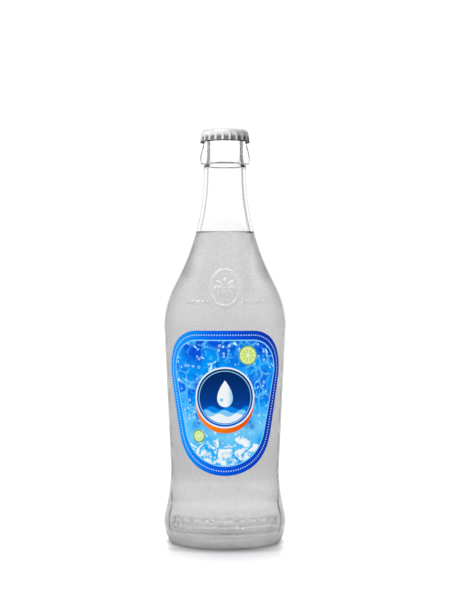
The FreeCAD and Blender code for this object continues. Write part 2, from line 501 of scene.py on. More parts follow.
def turn_piece(piece, columns):
    """Turn the drawn half section about Z and close it."""
    bpy.ops.object.mode_set(mode="OBJECT")
    apply_modifier(piece, "SCREW", axis="Z", angle=2 * math.pi, steps=columns, render_steps=columns,
                   use_merge_vertices=True, merge_threshold=weld)
    bpy.ops.object.mode_set(mode="EDIT")
    bpy.ops.mesh.select_all(action="SELECT")
    bpy.ops.mesh.remove_doubles(threshold=weld)
    bpy.ops.mesh.normals_make_consistent(inside=False)
    bpy.ops.object.mode_set(mode="OBJECT")
    bpy.ops.object.shade_smooth()


def thicken(sheet, thickness, outwards):
    """Give a thin sheet its thickness, with a second finish on its back and its cut edge."""
    for side in ("face", "back"):
        sheet.data.materials.append(None)
    apply_modifier(sheet, "SOLIDIFY", thickness=thickness * mm, offset=outwards, material_offset=1,
                   material_offset_rim=1)


def mark_points(piece, name, values):
    """Keep a number at each point of a piece, for its finish to read."""
    marks = piece.data.attributes.new(name, "FLOAT", "POINT")
    marks.data.foreach_set("value", values)


def eased(share):
    """Smooth step from 0 to 1."""
    share = min(max(share, 0.0), 1.0)
    return share * share * (3 - 2 * share)


def rosette_share(across, up):
    """Raised share of the front ornament, from millimetres across and up from its middle."""
    reach = math.hypot(across / oval_half_width, up / oval_half_height)
    from_line = abs(reach - 1) * (oval_half_width + oval_half_height) / 2
    ring = math.sqrt(max(0.0, 1 - (from_line / (oval_line / 2)) ** 2))
    angle = math.atan2(up, across)
    distance = math.hypot(across, up)
    petal_wave = abs(math.cos(petal_count * angle / 2)) ** petal_power
    petal_edge = petal_reach * (petal_root + (1 - petal_root) * petal_wave)
    petal = math.sqrt(min(max((petal_edge - distance) / petal_slope, 0.0), 1.0))
    petal *= eased((distance - eye_radius) / eye_gap)
    eye = math.sqrt(max(0.0, 1 - (distance / eye_radius) ** 2))
    return max(ring, petal, eye)


def raised_share(radius, angle, height):
    """Raised share of the glass at a radius and height in millimetres and an angle from the front."""
    across = radius * math.sin(angle)
    up = (height - oval_centre_height) * shoulder_stretch
    share = 0.0
    from_oval = math.hypot(across / oval_half_width, up / oval_half_height)
    if math.cos(angle) > 0 and from_oval < oval_zone:
        share = rosette_share(across, up)
    else:
        pitch = 2 * math.pi / bead_count
        nearest = round(angle / pitch)
        off_bead = (angle - nearest * pitch) * radius
        distance = math.hypot(off_bead, (height - bead_ring_height) * bead_stretch)
        if distance < bead_radius and abs(nearest) <= last_bead:
            share = math.sqrt(1 - (distance / bead_radius) ** 2)
    return max(share, heel_share(radius, angle, height))


def heel_share(radius, angle, height):
    """Raised share of the ribs round the heel and of the pairs of dots between them."""
    pitch = 2 * math.pi / rib_count
    nearest = round(angle / pitch)
    if abs(nearest) > last_rib:
        return 0.0
    full = abs(nearest) >= first_full_rib
    marks = [
        (upper_dot_middle, dot_half_height, rib_share),
        (lower_dot_middle, dot_half_height, rib_share if full else low_dot_share),
    ]
    if full and nearest % 2 == 0:
        marks = [(rib_middle, rib_half_height, rib_share)]
    inside_sides = (rib_half_width - abs(angle - nearest * pitch) * radius) / rib_slope
    share = 0.0
    for middle, half_height, rise in marks:
        inside_ends = (half_height - abs(height - middle)) / rib_slope
        share = max(share, rise * min(inside_sides, inside_ends, 1.0))
    return share


def outwardness(normal, place):
    """How far the glass faces away from its axis at a place, from 1 outwards to -1 inwards."""
    return normal.xy.dot(place.xy) / max(place.xy.length, hair)


def section_rows(bottle, side, least):
    """Height and radius in millimetres up the outside (side 1) or the inside (side -1) of the glass."""
    rows = []
    for point in bottle.data.vertices:
        on_section = abs(point.co.y) < hair and point.co.x > 0
        if on_section and side * outwardness(point.normal, point.co) > least:
            rows.append((point.co.z / mm, point.co.x / mm))
    return sorted(rows)


def blow_bottle():
    """The glass: a half section turned about the axis, with raised work pressed by the mould."""
    bottle = start_piece("bottle_glass")
    bore = [(bore_radius, bore_foot_height, bore_round), (bore_radius, glass_top, bore_lip_round)]
    inside = (cavity_corners(0.0) + bore)[::-1]
    draw_outline(outside_corners + inside, glass_row)
    turn_piece(bottle, glass_columns)
    cut_finer(bottle)
    shares = [0.0] * len(bottle.data.vertices)
    for point in bottle.data.vertices:
        radius = point.co.xy.length
        if radius > bore_radius * mm and outwardness(point.normal, point.co) > 0:
            angle = math.atan2(point.co.x, -point.co.y)
            share = raised_share(radius / mm, angle, point.co.z / mm)
            if share > least_share:
                shares[point.index] = share
    raised_work = bottle.vertex_groups.new(name="raised_work")
    for index, share in enumerate(shares):
        if share:
            raised_work.add([index], share, "REPLACE")
    mark_points(bottle, "rubbed", shares)
    apply_modifier(bottle, "DISPLACE", strength=raised_height, mid_level=0.0, vertex_group="raised_work")
    mark_wall_edge(bottle)
    return bottle


def cut_finer(bottle):
    """Cut the outside faces finer where the mould's raised work comes."""
    zones = (
        (heel_work_heights, 2 * math.pi / rib_count * (last_rib + row_margin)),
        (shoulder_work_heights, math.atan2(oval_half_width * oval_margin, outside_outline["shoulder"][0])),
        (bead_work_heights, 2 * math.pi / bead_count * (last_bead + row_margin)),
    )
    outline = section_rows(bottle, 1, 0.0)
    bpy.ops.object.mode_set(mode="EDIT")
    bpy.ops.mesh.select_mode(type="FACE")
    bpy.ops.mesh.select_all(action="DESELECT")
    body = bmesh.from_edit_mesh(bottle.data)
    for face in body.faces:
        middle = face.calc_center_median()
        outwards = outwardness(face.normal, middle) > 0
        angle = abs(math.atan2(middle.x, -middle.y))
        for (low, high), turn in zones:
            if outwards and low * mm < middle.z < high * mm and angle <= turn:
                face.select_set(True)
    bmesh.update_edit_mesh(bottle.data)
    bpy.ops.mesh.subdivide(number_cuts=raised_cuts)
    bpy.ops.mesh.select_mode(type="VERT")
    bpy.ops.object.mode_set(mode="OBJECT")
    for point in bottle.data.vertices:
        if point.select:
            point.co.xy *= radius_on(outline, point.co.z / mm) * mm / point.co.xy.length


def mark_wall_edge(bottle):
    """Keep on the outside how far it turns away where the painted dark line of the inside wall starts and
    ends.
    """
    bore = section_rows(bottle, -1, wall_facing)
    for end, name in enumerate(("wall_line_start", "wall_line_end")):
        mark_points(bottle, name, [line_turn(point, bore, end) for point in bottle.data.vertices])


def line_turn(point, bore, end):
    """Turn of the outside at a point where the wall's painted dark line starts or ends, or -1 off the
    outside.
    """
    outwards = outwardness(point.normal, point.co)
    if outwards <= wall_facing:
        return -1.0
    radius = point.co.xy.length / mm
    height = point.co.z / mm
    if height < fill_height:
        line = edge_line
        low, high = heel_line_heights
        inside = radius - edge_line_depth - heel_line_extra * eased((high - height) / (high - low))
        lean = 0.0
    else:
        line = finish_line if height > bore_taper_foot_height else neck_line
        inside = radius_on(bore, height)
        lean = seen_from_below
    reach = min((inside + line[end]) / radius, 1.0)
    towards = outwards * math.sqrt(1 - reach ** 2) * math.cos(lean)
    return 1 - towards + point.normal.z * math.sin(lean)


def pour_drink():
    """The drink: the cavity's outline cut at the fill line, with a meniscus creeping up the wall."""
    drink = start_piece("drink")
    draw_outline(cavity_corners(wetting), plain_turned_row)
    bpy.ops.mesh.select_all(action="SELECT")
    cut_height = (fill_height + meniscus_rise) * mm
    bpy.ops.mesh.bisect(plane_co=(0, 0, cut_height), plane_no=(0, 0, 1), clear_outer=True)
    section = bmesh.from_edit_mesh(drink.data)
    wall_radius = next(point.co.x for point in section.verts if point.select) / mm
    curve = [
        (wall_radius, fill_height + meniscus_rise, 0),
        (wall_radius - meniscus_reach, fill_height, meniscus_rise * meniscus_round_share),
        (0, fill_height, 0),
    ]
    bpy.ops.transform.translate(value=-at_section(curve[0]))
    draw_outline(curve, plain_turned_row)
    turn_piece(drink, drink_columns)
    return drink


def crown_rings():
    """Outside of the crown from its middle to its rim: recess radius, ridge rise and height."""
    corner_foot = crown_top - crown_corner_round
    rings = [(share * crown_flat_radius, 0, crown_top) for share in crown_flat_rings]
    for step in range(corner_steps + 1):
        lean = math.pi / 2 * (1 - step / corner_steps)
        reach = crown_flat_radius + crown_corner_round * math.cos(lean)
        rise = first_rise * step / corner_steps
        rings.append((reach, rise, corner_foot + crown_corner_round * math.sin(lean)))
    for step in range(1, skirt_steps + 1):
        share = step / skirt_steps
        flare = max(0, (share - flare_start) / (1 - flare_start)) ** flare_power
        crest = first_rise + skirt_rise * (1 - (1 - share) ** skirt_power) + rim_rise * flare
        rings.append((skirt_radius + rim_flare * flare, crest - rim_flare * flare,
                      corner_foot + share * (crown_rim - corner_foot)))
    return rings


def press_crown():
    """The crown: a disc drawn down ring by ring over its corner, its skirt pushed into flutes."""
    rings = crown_rings()
    first_radius, _, first_height = rings[0]
    turned = math.radians(front + flute_turn)
    crown = add_piece("crown_cap", bpy.ops.mesh.primitive_circle_add, vertices=flute_count * flute_columns,
                      radius=first_radius * mm, fill_type="TRIFAN", location=(0, 0, first_height * mm),
                      rotation=(0, 0, turned))
    bpy.ops.object.transform_apply(location=True, rotation=True, scale=True)
    bpy.ops.object.mode_set(mode="EDIT")
    bpy.ops.mesh.select_mode(type="EDGE")
    bpy.ops.mesh.select_all(action="DESELECT")
    sheet = bmesh.from_edit_mesh(crown.data)
    for edge in sheet.edges:
        edge.select_set(edge.is_boundary)
    bmesh.update_edit_mesh(crown.data)
    for (radius, _, height), (next_radius, _, next_height) in zip(rings, rings[1:]):
        down = (0, 0, (next_height - height) * mm)
        bpy.ops.mesh.extrude_region_move(TRANSFORM_OT_translate={"value": down})
        wider = next_radius / radius
        bpy.ops.transform.resize(value=(wider, wider, 1), center_override=(0, 0, next_height * mm))
    bpy.ops.mesh.select_mode(type="VERT")
    for radius, rise, height in rings[len(crown_flat_rings):]:
        for column in range(flute_columns // 2 if rise else 0):
            push_flutes(crown, radius, rise, height, column, turned)
    bpy.ops.mesh.select_all(action="SELECT")
    bpy.ops.mesh.normals_make_consistent(inside=False)
    bpy.ops.object.mode_set(mode="OBJECT")
    mark_points(crown, "shade", [flute_shade(point.co, turned) for point in crown.data.vertices])
    # Painted shadow along the bottom of the skirt
    painted_rim_shadow = [eased((crown_rim + hem_height - point.co.z / mm) / hem_run) for point in crown.data.vertices]
    mark_points(crown, "painted_rim_shadow", painted_rim_shadow)
    thicken(crown, sheet_thickness, outwards=-1)
    bpy.ops.object.shade_smooth()
    return crown


def flute_shade(place, turned):
    """Share of shade in the valleys of the skirt, fading towards the rim and the top."""
    from_ridge = (math.atan2(place.y, place.x) - turned) * flute_count
    ridge = (1 + math.cos(from_ridge)) / 2
    valley = eased(valley_reach - valley_slope * ridge ** valley_power)
    height = place.z / mm
    above_rim = eased((height - crown_rim - shade_above_rim) / shade_rim_run)
    return valley * above_rim * eased((crown_top - shade_below_top - height) / shade_top_run)


def push_flutes(crown, radius, rise, height, column, turned):
    """Move one ring's points at a column of every flute out to that column's place on the ridge."""
    ridge = ((1 + math.cos(2 * math.pi * column / flute_columns)) / 2) ** flute_sharpness
    pitch = 2 * math.pi / (flute_count * flute_columns)
    bpy.ops.mesh.select_all(action="DESELECT")
    sheet = bmesh.from_edit_mesh(crown.data)
    for point in sheet.verts:
        at_height = abs(point.co.z / mm - height) < ring_match
        at_radius = abs(point.co.xy.length / mm - radius) < ring_match
        place = round((math.atan2(point.co.y, point.co.x) - turned) / pitch) % flute_columns
        if at_height and at_radius and place in (column, flute_columns - column):
            point.select_set(True)
    sheet.select_flush_mode()
    bmesh.update_edit_mesh(crown.data)
    wider = (radius + rise * ridge) / radius
    bpy.ops.transform.resize(value=(wider, wider, 1), center_override=(0, 0, height * mm))


def mould_liner():
    """The sealing disc: a thin web with two raised sealing rings where it meets the lip."""
    liner = start_piece("crown_liner_disc")
    top = crown_top - sheet_thickness
    web = top - liner_web
    draw_outline([
        (0, web, 0),
        (7.3, web, 0.4),
        (7.7, glass_top, 0.25),
        (8.6, glass_top, 0.25),
        (8.9, web, 0.25),
        (9.5, web, 0.25),
        (9.8, glass_top, 0.25),
        (10.7, glass_top, 0.25),
        (liner_rim_radius, web, 0.15),
        (liner_rim_radius, top, 0.05),
        (0, top, 0),
    ], plain_turned_row)
    turn_piece(liner, liner_columns)
    return liner


def panel_profile():
    """Outside radius of the glass by height over the label panel, read from its drawn outline."""
    trial = start_piece("panel_trial")
    draw_outline(side_corners[:4], plain_turned_row)
    bpy.ops.object.mode_set(mode="OBJECT")
    profile = sorted((point.co.z / mm, point.co.x / mm) for point in trial.data.vertices)
    bpy.data.objects.remove(trial)
    return profile


def radius_on(profile, height):
    """Glass radius at a height, between the rows of the outline."""
    for (low, low_radius), (high, high_radius) in zip(profile, profile[1:]):
        if low <= height <= high:
            share = (height - low) / (high - low)
            return low_radius + share * (high_radius - low_radius)
    nearest_end = 0 if height < profile[0][0] else -1
    return profile[nearest_end][1]


def cone_radius(height):
    """Radius of the straight taper that the flat label is laid out on."""
    _, waist, shoulder, _ = side_corners[:4]
    share = (height - waist[1]) / (shoulder[1] - waist[1])
    return waist[0] + share * (shoulder[0] - waist[0])


# Outline of the flat label: a round bottom, leaning sides, and two rounded corners under a straight top
label_top = label_bottom + label_height
bottom_centre = label_bottom + label_bottom_round
corner_height = label_top - label_corner_round
lean_rise = math.sin(label_side_lean)
lean_run = math.cos(label_side_lean)
round_difference = label_bottom_round - label_corner_round
corner_across = (round_difference + (corner_height - bottom_centre) * lean_rise) / lean_run
side_start = label_bottom_round * (math.pi / 2 - label_side_lean)
corner_reach = math.hypot(corner_across, corner_height - bottom_centre)
side_end = side_start + math.sqrt(corner_reach ** 2 - round_difference ** 2)
corner_end = side_end + label_corner_round * (math.pi / 2 + label_side_lean)


def label_half_width(height, inset):
    """Half width of the label at a height, drawn in from its edge by an inset."""
    bottom_round = label_bottom_round - inset
    corner_round = label_corner_round - inset
    if height < bottom_centre - bottom_round * lean_rise:
        drop = bottom_centre - height
        return math.sqrt(max(bottom_round ** 2 - drop ** 2, 0))
    if height > corner_height - corner_round * lean_rise:
        rise = height - corner_height
        return corner_across + math.sqrt(max(corner_round ** 2 - rise ** 2, 0))
    return bottom_round / lean_run + (height - bottom_centre) * math.tan(label_side_lean)


def label_edge(across, height):
    """How far inside the label's edge a point lies, and how far along the edge from the bottom's middle."""
    across = abs(across)
    up = height - bottom_centre
    along = across * lean_rise + up * lean_run
    if along < 0:
        return label_bottom_round - math.hypot(across, up), label_bottom_round * math.atan2(across, -up)
    past_corner = (across - corner_across, height - corner_height)
    past_side = past_corner[0] * lean_rise + past_corner[1] * lean_run
    if past_corner[0] > 0 and past_side > 0:
        turned = math.atan2(past_side, past_corner[0] * lean_run - past_corner[1] * lean_rise)
        return label_corner_round - math.hypot(*past_corner), side_end + label_corner_round * turned
    to_side = label_bottom_round - across * lean_run + up * lean_rise
    to_top = label_top - height
    if to_top < to_side + hair:
        return min(to_top, to_side), corner_end + corner_across - across
    return to_side, side_start + along


def lay_sheet(name, profile, inset, lift, thickness, rows, columns):
    """A sheet cut to the label's outline, laid on the glass and given its thickness outwards."""
    sheet = add_piece(name, bpy.ops.mesh.primitive_grid_add, x_subdivisions=columns, y_subdivisions=rows,
                      size=1)
    low = label_bottom + inset
    high = label_top - inset
    places = []
    for point in sheet.data.vertices:
        share = (1 - math.cos(math.pi * (point.co.y + 0.5))) / 2
        height = low + (high - low) * share
        across = 2 * point.co.x * label_half_width(height, inset)
        places.append((across, height))
    flat = sheet.data.uv_layers.active
    for loop in sheet.data.loops:
        across, height = places[loop.vertex_index]
        flat.data[loop.index].uv = (0.5 + across / flat_span, (height - label_bottom) / flat_span)
    for point, (across, height) in zip(sheet.data.vertices, places):
        angle = across / cone_radius(height)
        radius = radius_on(profile, height) + lift
        point.co = Vector((radius * math.sin(angle), -radius * math.cos(angle), height)) * mm
    distances, runs = zip(*(label_edge(*place) for place in places))
    mark_points(sheet, "edge_distance", distances)
    mark_points(sheet, "edge_run", runs)
    bpy.ops.object.mode_set(mode="EDIT")
    bpy.ops.mesh.select_all(action="SELECT")
    bpy.ops.mesh.remove_doubles(threshold=sheet_weld)
    bpy.ops.object.mode_set(mode="OBJECT")
    thicken(sheet, thickness, outwards=1)
    bpy.ops.object.shade_smooth()
    return sheet


def grey(level):
    """A grey as the shader wants it."""
    return (level, level, level, 1.0)


def ink(red, green, blue, strength=1.0):
    """A printer's colour, from 0 to 255 each, as the shader wants it."""
    linear = []
    for level in (red, green, blue):
        level = level / 255
        linear.append(strength * (level / 12.92 if level <= 0.04045 else ((level + 0.055) / 1.055) ** 2.4))
    return (*linear, 1.0)


def print_ink(red, green, blue):
    """An ink at the strength that shows these levels in this light."""
    return ink(red, green, blue, ink_strength)


def print_inks(stops):
    """The stops of a printed ramp."""
    return [(place, print_ink(*levels)) for place, levels in stops]


class Recipe:
    """The nodes of one finish, or of the studio, with short ways to lay patterns over each other."""

    def __init__(self, name, kind="materials", shader="Principled BSDF"):
        self.made = getattr(bpy.data, kind).new(name)
        self.made.use_nodes = True
        self.nodes = self.made.node_tree.nodes
        self.links = self.made.node_tree.links
        self.shader = self.nodes[shader]

    def add(self, kind, **inputs):
        node = self.nodes.new("ShaderNode" + kind)
        for name, value in inputs.items():
            self.feed(node.inputs[name.replace("_", " ")], value)
        return node

    def feed(self, socket, value):
        if isinstance(value, bpy.types.NodeSocket):
            self.links.new(value, socket)
        else:
            socket.default_value = value

    def set(self, **inputs):
        for name, value in inputs.items():
            self.feed(self.shader.inputs[name.replace("_", " ")], value)

    def sum(self, operation, *values):
        node = self.add("Math")
        node.operation = operation
        for socket, value in zip(node.inputs, values):
            self.feed(socket, value)
        return node.outputs[0]

    def times(self, *values):
        return functools.reduce(functools.partial(self.sum, "MULTIPLY"), values)

    def largest(self, *values):
        return functools.reduce(functools.partial(self.sum, "MAXIMUM"), values)

    def less(self, value, taken):
        return self.sum("SUBTRACT", value, taken)

    def between(self, value, low, high, to_low=0.0, to_high=1.0):
        node = self.add("MapRange")
        node.interpolation_type = "SMOOTHSTEP"
        names = ("Value", "From Min", "From Max", "To Min", "To Max")
        for name, number in zip(names, (value, low, high, to_low, to_high)):
            self.feed(node.inputs[name], number)
        return node.outputs["Result"]

    def over(self, below, above, share):
        node = self.add("Mix")
        node.data_type = "RGBA"
        self.feed(node.inputs["Factor"], share)
        self.feed(node.inputs[6], below)
        self.feed(node.inputs[7], above)
        return node.outputs[2]

    def ramp(self, share, stops):
        node = self.add("ValToRGB")
        steps = node.color_ramp.elements
        while len(steps) < len(stops):
            steps.new(0.5)
        for step, (place, colour) in zip(steps, stops):
            step.position = place
            step.color = colour
        self.feed(node.inputs["Fac"], share)
        return node.outputs["Color"]

    def inside(self, value, limit, soft):
        return self.between(value, limit - soft, limit + soft, 1.0, 0.0)

    def reach(self, across, up, middle_across=0.0, middle_up=0.0):
        run = self.less(across, middle_across)
        rise = self.less(up, middle_up)
        return self.sum("SQRT", self.sum("ADD", self.times(run, run), self.times(rise, rise)))

    def attribute(self, name):
        node = self.add("Attribute")
        node.attribute_name = name
        return node.outputs["Fac"]

    def facing(self):
        return self.add("LayerWeight", Blend=0.5).outputs["Facing"]

    def object_place(self):
        return self.add("TexCoord").outputs["Object"]

    def axes(self, place, unit=mm):
        parts = self.add("SeparateXYZ", Vector=place)
        return [self.sum("DIVIDE", part, unit) for part in parts.outputs]

    def noise(self, place, scale, detail=3.0, roughness=0.5, distortion=0.0):
        node = self.add("TexNoise", Vector=place, Scale=scale, Detail=detail, Roughness=roughness,
                        Distortion=distortion)
        return node.outputs["Fac"]

    def rough(self, pattern, low, high):
        self.set(Roughness=self.between(pattern, 0.3, 0.7, low, high))

    def bump(self, height, strength, depth):
        node = self.add("Bump", Height=height, Strength=strength, Distance=depth * mm)
        self.feed(self.shader.inputs["Normal"], node.outputs["Normal"])


def clear_glass():
    """Flint glass: clear, faintly rippled from the mould, with painted dark lines along its walls, painted
    dark rims, and a scuffed foot darkened as painted shade.
    """
    recipe = Recipe("clear_flint_glass")
    place = recipe.object_place()
    across, along, height = recipe.axes(place)
    facing = recipe.facing()
    # Painted shade: dark lines where the inside walls would show through, and dark rims where the glass
    # turns away
    past_start = recipe.less(facing, recipe.attribute("wall_line_start"))
    before_end = recipe.less(recipe.attribute("wall_line_end"), facing)
    in_line = recipe.times(recipe.between(past_start, -line_blur, line_blur),
                           recipe.between(before_end, -line_blur, line_blur))
    broken = recipe.between(recipe.noise(place, 160.0, 2.0), 0.35, 0.55)
    broken = recipe.largest(broken, recipe.between(height, *whole_line_heights, whole_line_share, 0.0))
    weights = [(share, grey(weight)) for share, weight in line_weights]
    weight = recipe.ramp(recipe.sum("DIVIDE", height, glass_top), weights)
    above_drink = recipe.sum("GREATER_THAN", height, fill_height)
    painted_wall_line = recipe.times(in_line, weight, recipe.largest(broken, above_drink))
    painted_empty_rim = recipe.times(recipe.between(facing, *empty_rim_turn, 0.0, empty_rim_share), above_drink)
    painted_full_rim = recipe.times(recipe.between(facing, *full_rim_turn),
                            recipe.between(height, *full_rim_heights, *full_rim_shares),
                            recipe.less(1.0, above_drink))
    line = recipe.largest(painted_wall_line, painted_empty_rim, painted_full_rim)
    # Real scuffing dulls the foot, and its colour is darkened there as painted shade
    scuff_and_shade = recipe.times(recipe.between(height, *scuff_heights, 1.0, 0.0),
                         recipe.between(recipe.reach(across, along), *scuff_radii))
    haze = recipe.between(recipe.noise(place, 300.0), 0.3, 0.8, 0.0, 0.02)
    clear = recipe.over(grey(1.0), grey(painted_line_tone), line)
    recipe.set(Base_Color=recipe.over(clear, grey(foot_shade_tone), scuff_and_shade))
    raised = recipe.attribute("rubbed")
    rubbed = recipe.times(recipe.between(raised, 0.1, 0.5, 0.0, rubbed_dulling),
                          recipe.between(height, *worn_heights, *worn_dulling))
    dull = recipe.largest(recipe.times(scuff_and_shade, scuff_dulling), rubbed)
    recipe.set(Roughness=recipe.sum("ADD", dull, haze), IOR=1.5, Transmission_Weight=1.0)
    worn = recipe.times(recipe.between(raised, 0.05, 0.3), recipe.between(height, *worn_heights))
    recipe.set(Specular_Tint=recipe.over(grey(1.0), grey(worn_tone), worn))
    recipe.bump(recipe.noise(place, 55.0, 2.0), 0.06, 2.0)
    return recipe.made


def clear_drink():
    """The drink: clear and faintly grey, its grey painted lighter and darker by height as light and shade,
    and lighter towards the shoulder's sides as painted light.
    """
    recipe = Recipe("clear_soda")
    place = recipe.object_place()
    _, _, height = recipe.axes(place)
    painted_shade_stops = [(tint_height / fill_height, grey(painted_tint)) for tint_height, painted_tint in drink_painted_shade]
    painted_tint = recipe.ramp(recipe.sum("DIVIDE", height, fill_height), painted_shade_stops)
    speckle = recipe.between(recipe.noise(place, 900.0, 3.0, 0.6), 0.36, 0.64, 0.0, 0.3)
    # Painted light: the shoulder is lighter away from where it faces the view
    painted_pale_sides = recipe.times(recipe.between(recipe.facing(), *pale_turn, 0.0, 0.6),
                         recipe.between(height, *pale_from_heights),
                         recipe.between(height, *pale_to_heights, 1.0, 0.0))
    painted_tint = recipe.over(painted_tint, grey(1.0), painted_pale_sides)
    recipe.set(Base_Color=recipe.over(painted_tint, grey(speckle_tone), speckle))
    recipe.set(IOR=1.33, Transmission_Weight=1.0, Roughness=0.35, Specular_Tint=grey(0.12))
    return recipe.made


def silver_tinplate():
    """Pressed tinplate under clear lacquer: bright, faintly brushed, with painted shade in the flutes, a
    painted shadow along the rim and a painted dark outline where it turns away.
    """
    recipe = Recipe("silver_tinplate")
    place = recipe.object_place()
    cloud = recipe.noise(place, 260.0, 4.0)
    bright = recipe.over(ink(228, 229, 231), ink(246, 246, 246), cloud)
    # Painted shade: a grey, less metallic outline where the crown turns away from view
    painted_edge_shade = recipe.between(recipe.facing(), 0.55, 0.85)
    shaded = recipe.over(bright, ink(122, 123, 125), recipe.attribute("shade"))
    # Painted shadow along the rim
    shaded = recipe.over(shaded, ink(52, 52, 54), recipe.attribute("painted_rim_shadow"))
    recipe.set(Base_Color=recipe.over(shaded, ink(138, 139, 141), painted_edge_shade))
    recipe.set(Metallic=recipe.sum("MULTIPLY_ADD", painted_edge_shade, -0.5, 0.5), Specular_IOR_Level=0.05)
    recipe.rough(cloud, 0.28, 0.42)
    recipe.bump(recipe.noise(place, 2400.0, 2.0), 0.12, 0.05)
    return recipe.made


def inner_lacquer():
    """Inside of the crown: dull grey protective lacquer, kept dark as painted shade inside the cap."""
    recipe = Recipe("inner_lacquer")
    cloud = recipe.noise(recipe.object_place(), 300.0, 4.0)
    recipe.set(Base_Color=recipe.over(ink(84, 84, 86), ink(112, 112, 114), cloud), Metallic=0.6)
    recipe.rough(cloud, 0.4, 0.55)
    recipe.bump(cloud, 0.1, 0.03)
    return recipe.made


def liner_plastic():
    """Soft off-white sealing plastic with a moulded haze."""
    recipe = Recipe("liner_plastic")
    haze = recipe.noise(recipe.object_place(), 400.0, 3.0)
    recipe.set(Base_Color=recipe.over(ink(214, 214, 208), ink(232, 232, 228), haze))
    recipe.rough(haze, 0.38, 0.55)
    recipe.bump(haze, 0.1, 0.05)
    return recipe.made


def dried_glue():
    """Film of dried glue with brushed streaks, with a faint painted glow in place of the daylight that
    comes through the paper.
    """
    recipe = Recipe("dried_glue")
    stretched = recipe.add("Mapping", Vector=recipe.object_place(), Scale=(120.0, 120.0, 900.0))
    streak = recipe.noise(stretched.outputs["Vector"], 1.0, 3.0)
    recipe.set(Base_Color=recipe.over(ink(214, 210, 198), ink(236, 233, 224), streak))
    # Painted light: a faint glow, though the glue is no lamp
    recipe.set(Emission_Color=ink(214, 226, 242), Emission_Strength=0.5)
    recipe.rough(streak, 0.4, 0.6)
    recipe.bump(streak, 0.15, 0.02)
    return recipe.made


def plain_paper():
    """Uncoated back and cut edge of the label."""
    recipe = Recipe("paper_back")
    fibre = recipe.noise(recipe.object_place(), 1500.0, 4.0)
    recipe.set(Base_Color=recipe.over(ink(226, 227, 228), ink(244, 244, 243), fibre), Roughness=0.75)
    recipe.bump(fibre, 0.15, 0.02)
    return recipe.made


def water_field(recipe, across, up):
    """Printed water: deep blue to pale ice, with bright streaks and rising bubbles."""
    flat = recipe.add("CombineXYZ", X=across, Y=up).outputs["Vector"]
    drift = recipe.less(recipe.noise(flat, 0.045, 2.0, 0.5, 0.8), 0.5)
    level = recipe.sum("MULTIPLY_ADD", drift, water_drift, up)
    colour = recipe.ramp(recipe.sum("DIVIDE", level, label_height), print_inks(water_inks))
    deep = recipe.between(recipe.noise(flat, 0.11, 4.0, 0.6, 0.5), 0.52, 0.72, 0.0, 0.75)
    colour = recipe.over(colour, print_ink(0, 58, 186), deep)
    sway = recipe.add("TexNoise", Vector=flat, Scale=0.12, Detail=3.0)
    warp = recipe.add("VectorMath")
    warp.operation = "MULTIPLY_ADD"
    for socket, value in zip(warp.inputs, (sway.outputs["Color"], (ripple_sway, ripple_sway, 0.0), flat)):
        recipe.feed(socket, value)
    ripples = recipe.add("TexVoronoi", Vector=warp.outputs["Vector"], Scale=0.14)
    ripples.feature = "DISTANCE_TO_EDGE"
    patchy = recipe.between(recipe.noise(flat, 0.07, 2.0), 0.42, 0.62)
    ripple = recipe.times(recipe.between(ripples.outputs["Distance"], 0.0, 0.14, 0.75, 0.0), patchy)
    colour = recipe.over(colour, print_ink(110, 212, 255), ripple)
    splash = recipe.noise(flat, 0.05, 2.0, 0.5, 0.4)
    low_down = recipe.inside(recipe.sum("MULTIPLY_ADD", splash, -splash_height, up), 2.0, 8.0)
    spray = recipe.noise(flat, 0.16, 5.0, 0.62, 1.2)
    spray = recipe.sum("MULTIPLY_ADD", low_down, splash_lift, spray)
    colour = recipe.over(colour, print_ink(70, 198, 255), recipe.between(spray, 0.54, 0.62))
    colour = recipe.over(colour, print_ink(*white_ink), recipe.between(spray, 0.61, 0.69))
    cells = recipe.add("TexVoronoi", Vector=flat, Scale=0.34, Randomness=1.0)
    size = recipe.add("SeparateColor", Color=cells.outputs["Color"]).outputs["Red"]
    off_edge = recipe.less(cells.outputs["Distance"], recipe.times(size, bubble_size))
    bubble = recipe.times(recipe.inside(recipe.sum("ABSOLUTE", off_edge), 0.05, 0.04),
                          recipe.between(size, 0.3, 0.5), 0.8)
    return recipe.over(colour, print_ink(222, 243, 255), bubble)


def citrus_slice(recipe, below, across, up, middle, radius):
    """A cut lime laid over the print: rind, pith and segments."""
    distance = recipe.reach(across, up, *middle)
    angle = recipe.sum("ARCTAN2", recipe.less(up, middle[1]), recipe.less(across, middle[0]))
    off_spoke = recipe.times(recipe.sum("PINGPONG", angle, math.pi / lime_segments), distance)
    colour = recipe.over(below, print_ink(120, 178, 16), recipe.inside(distance, radius, print_blur))
    pith = recipe.inside(distance, radius - rind, print_blur)
    colour = recipe.over(colour, print_ink(236, 246, 206), pith)
    pulp = recipe.times(recipe.inside(distance, radius - pulp_inset, 0.15),
                        recipe.between(off_spoke, 0.12, 0.34))
    outwards = recipe.between(distance, 0.6, radius - pulp_inset)
    pulp_tone = recipe.over(print_ink(176, 216, 40), print_ink(214, 236, 110), outwards)
    return recipe.over(colour, pulp_tone, pulp)


